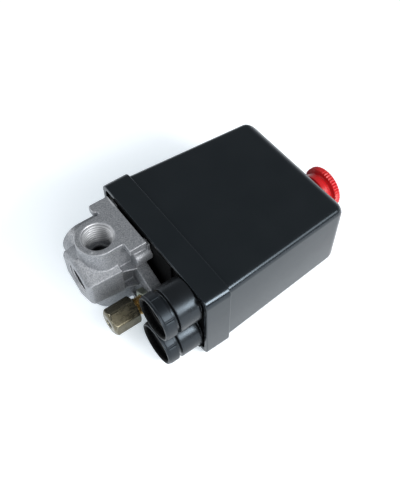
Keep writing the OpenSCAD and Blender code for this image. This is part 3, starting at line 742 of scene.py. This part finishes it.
def unloader_mesh():
    """Brass valve body: tube socket, fine outer thread, collar and narrow passage."""
    low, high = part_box("unloader_body")
    centre = middle("unloader_body")
    pitch, minor, major = 1.0 * MM, 3.42 * MM, 3.98 * MM
    collar_low, collar_high = high.y - 6.7 * MM, high.y - 4.9 * MM
    socket = low.y + 3.4 * MM
    loops = [circle_y(centre, r, y) for r, y in
             ((1.3 * MM, high.y), (1.3 * MM, socket + 0.5 * MM), (2.0 * MM, socket),
              (2.05 * MM, socket - 0.2 * MM), (2.05 * MM, low.y + 0.3 * MM),
              (2.3 * MM, low.y), (3.1 * MM, low.y))]
    rows = 165
    for i in range(rows + 1):
        y = low.y + 0.1 * MM + (collar_low - low.y - 0.2 * MM) * i / rows

        def wall(a, y=y):
            r = minor + (major - minor) * thread_wave(a, y, pitch, 0.14)
            return min(r, 3.1 * MM + 1.2 * (y - low.y))
        loops.append(circle_y(centre, wall, y))
    for r, y in ((major, collar_low), (4.5 * MM, collar_low), (4.7 * MM, collar_low + 0.2 * MM),
                 (4.7 * MM, collar_high - 0.2 * MM), (4.5 * MM, collar_high),
                 (major, collar_high), (major, high.y - 0.4 * MM), (3.6 * MM, high.y),
                 (1.5 * MM, high.y)):
        loops.append(circle_y(centre, r, y))
    return loft("unloader_body_shape", loops, ring=True)


def notch(angle, count, width, depth, phase=0.0):
    """Depth of evenly spaced grooves with sloping sides; width is in radians."""
    step = FULL_TURN / count
    off = abs((angle - phase + step / 2) % step - step / 2)
    return depth * min(1.0, max(0.0, (width - off) / (0.35 * width)))


def gland_nut_mesh(side):
    """Gland nut: narrower front rim, ribbed mouth, web, plain bore behind, grip notches."""
    low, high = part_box("gland_nut_" + side)
    centre = middle("gland_nut_" + side)
    outer = (high.x - low.x) / 2
    front, back = low.y, high.y
    inner, bore = 8.03 * MM, 6.4 * MM
    web, web_back = front + 2.4 * MM, front + 3.0 * MM
    ribs, grips, first_grip = 24, 6, math.radians(40)

    def grooved(radius, share=1.0):
        return lambda a: radius - notch(a, grips, 0.05, 0.34 * MM * share, first_grip)

    def ribbed(radius):
        return lambda a: radius - notch(a, ribs, 0.045, 0.22 * MM)

    rows = [(bore, web + 0.12 * MM), (bore + 0.1 * MM, web), (inner - 0.15 * MM, web),
            (inner, web - 0.12 * MM), (ribbed(inner), web - 0.16 * MM),
            (ribbed(inner), front + 0.75 * MM), (inner + 0.05 * MM, front + 0.55 * MM),
            (inner + 0.25 * MM, front + 0.3 * MM), (inner + 0.62 * MM, front + 0.06 * MM),
            (inner + 0.75 * MM, front), (outer - 0.62 * MM, front),
            (outer - 0.42 * MM, front + 0.05 * MM),
            (outer - 0.3 * MM, front + 0.18 * MM), (outer - 0.28 * MM, front + 0.8 * MM),
            (outer - 0.2 * MM, front + 0.95 * MM), (outer - 0.04 * MM, front + 1.08 * MM),
            (outer, front + 1.25 * MM), (grooved(outer), front + 1.35 * MM),
            (grooved(outer), back - 0.5 * MM), (grooved(outer - 0.06 * MM), back - 0.25 * MM),
            (grooved(outer - 0.25 * MM, 0.6), back - 0.07 * MM), (outer - 0.5 * MM, back),
            (inner + 0.4 * MM, back), (inner, back - 0.35 * MM), (inner, web_back + 0.1 * MM),
            (inner - 0.1 * MM, web_back), (bore + 0.1 * MM, web_back),
            (bore, web_back - 0.12 * MM)]
    loops = [circle_y(centre, r, y, NOTCHED) for r, y in rows]
    return loft("gland_nut_shape", loops, ring=True)


def washer_mesh(side):
    """Thrust washer: sleeve through the nut's web and a shoulder behind it."""
    low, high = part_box("gland_washer_" + side)
    centre = middle("gland_washer_" + side)
    hole, rim, outer = 4.6 * MM, 6.35 * MM, (high.x - low.x) / 2
    shoulder = high.y - 0.55 * MM
    rows = [(hole, high.y - 0.12 * MM), (hole, low.y + 0.2 * MM),
            (hole + 0.08 * MM, low.y + 0.06 * MM), (hole + 0.2 * MM, low.y),
            (rim - 0.15 * MM, low.y), (rim - 0.04 * MM, low.y + 0.04 * MM),
            (rim, low.y + 0.14 * MM), (rim, shoulder), (outer - 0.1 * MM, shoulder),
            (outer, shoulder + 0.1 * MM), (outer, high.y - 0.1 * MM), (outer - 0.1 * MM, high.y),
            (hole + 0.12 * MM, high.y)]
    return revolve("gland_washer_shape", centre, rows)


def seal_mesh(side):
    """Rubber ring with a rounded lip in front and grooves in its bore."""
    low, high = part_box("gland_seal_" + side)
    centre = middle("gland_seal_" + side)
    hole, outer = 4.6 * MM, (high.x - low.x) / 2
    groove, steps = 0.12 * MM, 6
    grooved = high.y - low.y - 1.1 * MM
    rows = [(hole + groove * (s % 2), high.y - 0.5 * MM - grooved * s / steps)
            for s in range(steps + 1)]
    rows += [(hole + 0.15 * MM, low.y + 0.25 * MM), (hole + 0.45 * MM, low.y + 0.04 * MM),
             (hole + 0.8 * MM, low.y), (outer - 0.5 * MM, low.y),
             (outer - 0.12 * MM, low.y + 0.12 * MM), (outer, low.y + 0.5 * MM),
             (outer, high.y - 0.5 * MM), (outer - 0.4 * MM, high.y - 0.05 * MM),
             (hole + 0.5 * MM, high.y), (hole + 0.1 * MM, high.y - 0.2 * MM)]
    return revolve("gland_seal_shape", centre, rows)


def gland_thread_mesh(side):
    """Turns of the neck's thread that show between the nut and the shoulder."""
    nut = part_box("gland_nut_" + side)[1]
    centre = middle("gland_nut_" + side)
    start, stop = nut.y - 0.9 * MM, nut.y + 1.7 * MM
    pitch, inside, minor, major = 1.5 * MM, 7.1 * MM, 7.4 * MM, 7.9 * MM
    rows = 40
    loops = [circle_y(centre, inside, stop, FACETED), circle_y(centre, inside, start, FACETED)]
    for i in range(rows + 1):
        y = start + (stop - start) * i / rows

        def wall(a, y=y):
            return minor + (major - minor) * thread_wave(a, y, pitch, 0.12)
        loops.append(circle_y(centre, wall, y, FACETED))
    return loft("gland_thread_shape", loops, ring=True)


def knob_mesh():
    """Pull knob: shaft, hub, narrow groove, finely toothed flange and a dished face."""
    low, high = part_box("knob")
    centre = middle("knob")
    face = high.y
    hub = face - 7.8 * MM
    outer = (high.x - low.x) / 2
    teeth, sharpness = 45, 1.4

    def toothed(radius, depth=0.42 * MM):
        return lambda a: radius - depth * (0.5 - 0.5 * math.cos(teeth * a)) ** sharpness

    shaft = [(2.5 * MM, low.y), (5.7 * MM, low.y), (6 * MM, low.y + 0.3 * MM)]
    hub_rows = [(r * MM, hub + y * MM) for r, y in
                ((6, -0.25), (6.2, -0.05), (6.4, 0), (7.9, 0), (8.2, 0.08), (8.36, 0.25),
                 (8.4, 0.5), (8.4, 2.5), (8.33, 2.85), (8.1, 3.15), (7.8, 3.35), (7.62, 3.55),
                 (7.62, 3.95), (7.8, 4.15), (8.2, 4.22))]
    flange = [(outer - 1.0 * MM, hub + 4.24 * MM),
              (toothed(outer - 0.5 * MM, 0.1 * MM), hub + 4.27 * MM),
              (toothed(outer - 0.15 * MM, 0.3 * MM), hub + 4.4 * MM),
              (toothed(outer), hub + 4.65 * MM), (toothed(outer), hub + 6.5 * MM),
              (toothed(outer - 0.12 * MM, 0.36 * MM), hub + 6.85 * MM),
              (toothed(outer - 0.45 * MM, 0.2 * MM), hub + 7.2 * MM),
              (toothed(outer - 0.8 * MM, 0.08 * MM), hub + 7.42 * MM),
              (outer - 1.3 * MM, hub + 7.62 * MM), (outer - 1.9 * MM, hub + 7.75 * MM),
              (outer - 2.5 * MM, face)]
    dish = [(r * MM, face - y * MM) for r, y in
            ((7.0, 0), (6.65, 0.06), (6.45, 0.3), (6.4, 0.55), (6.2, 0.75), (5.8, 0.8),
             (2.5, 0.8), (1.2, 0.8))]
    inside = [(AXIS_RADIUS, face - 0.8 * MM), (AXIS_RADIUS, hub + 2.0 * MM),
              (2.5 * MM, hub + 2.0 * MM)]
    rows = shaft + hub_rows + flange + dish + inside
    return loft("knob_shape", [circle_y(centre, r, y, TOOTHED) for r, y in rows], ring=True)


def cover_screw_mesh():
    """Pan-head screw with a slot; only its head shows."""
    low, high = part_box("cover_screw")
    centre = middle("cover_screw")
    head = high.y - 2 * MM
    slot_size = (10 * MM, 2 * MM, 0.95 * MM)
    rows = [(AXIS_RADIUS, low.y), (1.5 * MM, low.y), (1.9 * MM, low.y + 0.4 * MM),
            (1.9 * MM, head), (3.25 * MM, head), (3.4 * MM, head + 0.15 * MM)]
    for a in quarter(8):
        rows.append((2.3 * MM + 1.1 * MM * math.cos(a),
                     head + 1.0 * MM + 1.0 * MM * math.sin(a)))
    rows += [(1.9 * MM, high.y), (AXIS_RADIUS, high.y)]
    mesh = revolve("cover_screw_shape", centre, rows, ring=False)
    slot = bmesh.new()
    place = Matrix.Translation((centre.x, high.y, centre.z))
    bmesh.ops.create_cube(slot, size=1, matrix=place @ Matrix.Diagonal((*slot_size, 1)))
    tool = bpy.data.meshes.new("slot")
    slot.to_mesh(tool)
    slot.free()
    return cut(mesh, [tool])


def spring_mesh(node, wire, turns, closed, share=(0.0, 1.0)):
    """Round-wire helix that fills a CAD spring's box; wire is the wire's radius. The end
    turns are closed and flattened."""
    low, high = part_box(node)
    return coil_mesh(node + "_shape", middle(node), (high.x - low.x) / 2 - wire, wire, turns,
                     low.y, high.y, closed, share)


def coil_mesh(name, centre, radius, wire, turns, low, high, closed, share=(0.0, 1.0)):
    """Helix round the Y axis line through centre; share is the stretch of its wire to draw."""
    sides, steps = 14, 40
    ground_ends = (0.55, 0.85)
    total = int(turns * steps)
    rise = high - low - 2 * wire
    # the end turns close up: each rises by just over half the wire's thickness
    closed_pitch = 1.01 * wire
    loops = []
    for i in range(round(total * share[0]), round(total * share[1]) + 1):
        turn = i / steps
        if turn < closed:
            y = closed_pitch * turn
        elif turn > turns - closed:
            y = rise - closed_pitch * (turns - turn)
        else:
            t = (turn - closed) / (turns - 2 * closed)
            y = closed_pitch * closed + (rise - 2 * closed_pitch * closed) * t
        from_end = min(i, total - i)
        thick = wire * (ground_ends[from_end] if from_end < len(ground_ends) else 1)
        a = FULL_TURN * turn
        out = Vector((math.cos(a), 0, math.sin(a)))
        on_axis = Vector((centre.x, low + wire + y, centre.z))
        loops.append([on_axis + out * (radius + thick * math.cos(b))
                      + Vector((0, thick * math.sin(b), 0))
                      for b in (FULL_TURN * k / sides for k in range(sides))])
    return loft(name, loops)


def contact_springs_mesh():
    """Both contact springs, one under each bridge."""
    low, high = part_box("contact_springs")
    centre = middle("contact_springs")
    wire, radius, turns, closed = 0.3 * MM, 1.6 * MM, 5, 1.0
    off = (high.z - low.z) / 2 - radius - wire
    bm = bmesh.new()
    for s in (-1, 1):
        place = Vector((centre.x, 0, centre.z + s * off))
        part = coil_mesh("contact_spring", place, radius, wire, turns, low.y, high.y, closed)
        bm.from_mesh(part)
    mesh = bpy.data.meshes.new("contact_springs_shape")
    bm.to_mesh(mesh)
    bm.free()
    return mesh


def matt_and_shade_paint_outside(mesh):
    """Gives every face of the base moulding but the gland necks' a matt finish and a darker
    colour painted as shade.
    """
    mesh.materials.append(materials["frame_matt_shade_paint"])
    axes = [middle("gland_nut_" + side) for side in GLAND_SIDES]
    neck_radius = 9.95 * MM
    neck_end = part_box("base_frame")[1].y - 3.3 * MM
    for face in mesh.polygons:
        at = face.center
        off = min(math.hypot(at.x - axis.x, at.z - axis.z) for axis in axes)
        face.material_index = 0 if off < neck_radius and at.y < neck_end else 1


def matt_and_shade_paint_mouth(mesh, side):
    """Gives the inside of a gland nut a matt finish and a darker colour painted as shade."""
    mesh.materials.append(materials["nut_mouth_shade_paint"])
    axis = middle("gland_nut_" + side)
    mouth_radius = 8.72 * MM
    for face in mesh.polygons:
        at = face.center
        off = math.hypot(at.x - axis.x, at.z - axis.z)
        face.material_index = 1 if off < mouth_radius else 0


def bevelled(node, width):
    """Gives a CAD node small rounded edges by modifiers; its mesh is left as it is."""
    cad = frame["nodes"][node]
    weld = cad.modifiers.new("weld", "WELD")
    weld.merge_threshold = 1e-6
    bevel = cad.modifiers.new("bevel", "BEVEL")
    bevel.width = width
    bevel.segments = 2
    bevel.limit_method = "ANGLE"
    bevel.angle_limit = math.radians(40)
    bevel.use_clamp_overlap = True


# ---------------------------------------------------------------- the pieces

# Edge rounding of the inner pieces that keep their CAD shape, in millimetres
BEVELS = {"mechanism_bracket": 0.2, "lever": 0.2, "lever_pin": 0.2, "pin_clips": 0.1,
          "range_screw": 0.15, "range_seat": 0.15, "differential_screw": 0.15,
          "differential_seat": 0.1, "contact_block": 0.2, "fixed_contacts": 0.08,
          "contact_carrier": 0.2, "contact_bridges": 0.08, "terminal_screws": 0.15,
          "earth_screw": 0.15, "manifold_screws": 0.15, "knob_stem": 0.2, "off_latch": 0.3,
          "stem_clip": 0.08, "cover_post": 0.2, "diaphragm_piston": 0.2, "ferrule": 0.12}

# Springs on the housing that a follower presses: name, CAD node, wire radius, turns, closed
# turns at each end, follower's body
PRESSED_COILS = (
    ("differential_coil", "differential_spring", 0.45 * MM, 8, 1.0, "differential_seat"),
    ("valve_coil", "valve_spring", 0.2 * MM, 4, 0.6, "valve_pin"))
# The same three of the range spring
RANGE_WIRE, RANGE_TURNS, RANGE_CLOSED = 0.85 * MM, 7, 1.0


def give_nodes_materials():
    """Gives each CAD node the material of its slot."""
    slots = {part["node"]: part["material_slot"] for part in frame["record"]["subparts"]}
    for node, cad in frame["nodes"].items():
        cad.data.materials.clear()
        cad.data.materials.append(materials[slots[node]])


def make_housing():
    piece("cover_shell", cover_mesh(), "housing", "cover_plastic", ["cover"])
    piece("port_casting", manifold_mesh(), "housing", "cast_metal", ["manifold"],
          CAST_SMOOTH_ANGLE)
    for name, axis in PORTS:
        piece(name + "_thread", port_liner(name + "_liner", mount(name), axis), "housing",
              "cast_metal", angle=THREAD_SMOOTH_ANGLE, finish="cut_thread")
    base = piece("base_moulding",
                 softened(cad_copy("base_frame"), voxel=0.3 * MM, passes=3, kept=0.4),
                 "housing", "frame_plastic", ["base_frame"], CAST_SMOOTH_ANGLE)
    matt_and_shade_paint_outside(base.data)


def make_unloader():
    piece("unloader_valve_body", unloader_mesh(), "housing", "yellow_brass", ["unloader_body"])
    piece("unloader_lock_nut", locknut_mesh(), "housing", "plated_nut", ["unloader_locknut"])
    piece("tube_compression_nut", compression_nut_mesh(), "compression_nut", "aged_brass",
          ["compression_nut"])


def make_gland(side):
    nut = piece("cable_nut_" + side, gland_nut_mesh(side), "gland_nut_" + side, "nut_plastic",
                ["gland_nut_" + side])
    matt_and_shade_paint_mouth(nut.data, side)
    piece("cable_washer_" + side, washer_mesh(side), "gland_washer_" + side, "washer_plastic",
          ["gland_washer_" + side])
    piece("cable_seal_" + side, seal_mesh(side), "housing", "rubber_black",
          ["gland_seal_" + side])
    piece("neck_thread_" + side, gland_thread_mesh(side), "housing", "frame_plastic")


def make_range_spring():
    """The spring stands on the lever and bears on its seat; it is drawn in two halves."""
    low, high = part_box("range_spring")
    centre = middle("range_spring")
    for name, share, start, end, bodies in (
            ("range_coil_lower", (0.0, 0.5), low.y, centre.y - RANGE_WIRE,
             ("lever", "housing")),
            ("range_coil_upper", (0.5, 1.0), centre.y + RANGE_WIRE, high.y,
             ("housing", "range_seat"))):
        mesh = spring_mesh("range_spring", RANGE_WIRE, RANGE_TURNS, RANGE_CLOSED, share)
        coil = bare_piece(name, mesh, "spring_steel", ["range_spring"])
        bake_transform(coil)


def make_pressed_coil(name, node, wire, turns, closed, follower):
    coil = bare_piece(name, spring_mesh(node, wire, turns, closed), "spring_steel", [node])
    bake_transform(coil)


materials = make_materials()
make_camera()
make_studio()
give_nodes_materials()
make_housing()
make_unloader()
for side in GLAND_SIDES:
    make_gland(side)
piece("pull_knob", knob_mesh(), "knob", "knob_red", ["knob"])
piece("cover_pan_screw", cover_screw_mesh(), "housing", "screw_steel", ["cover_screw"])
make_range_spring()
for settings in PRESSED_COILS:
    make_pressed_coil(*settings)
for node, width in BEVELS.items():
    bevelled(node, width * MM)
piece("contact_coils", contact_springs_mesh(), "contact_carrier", "spring_steel",
      ["contact_springs"])
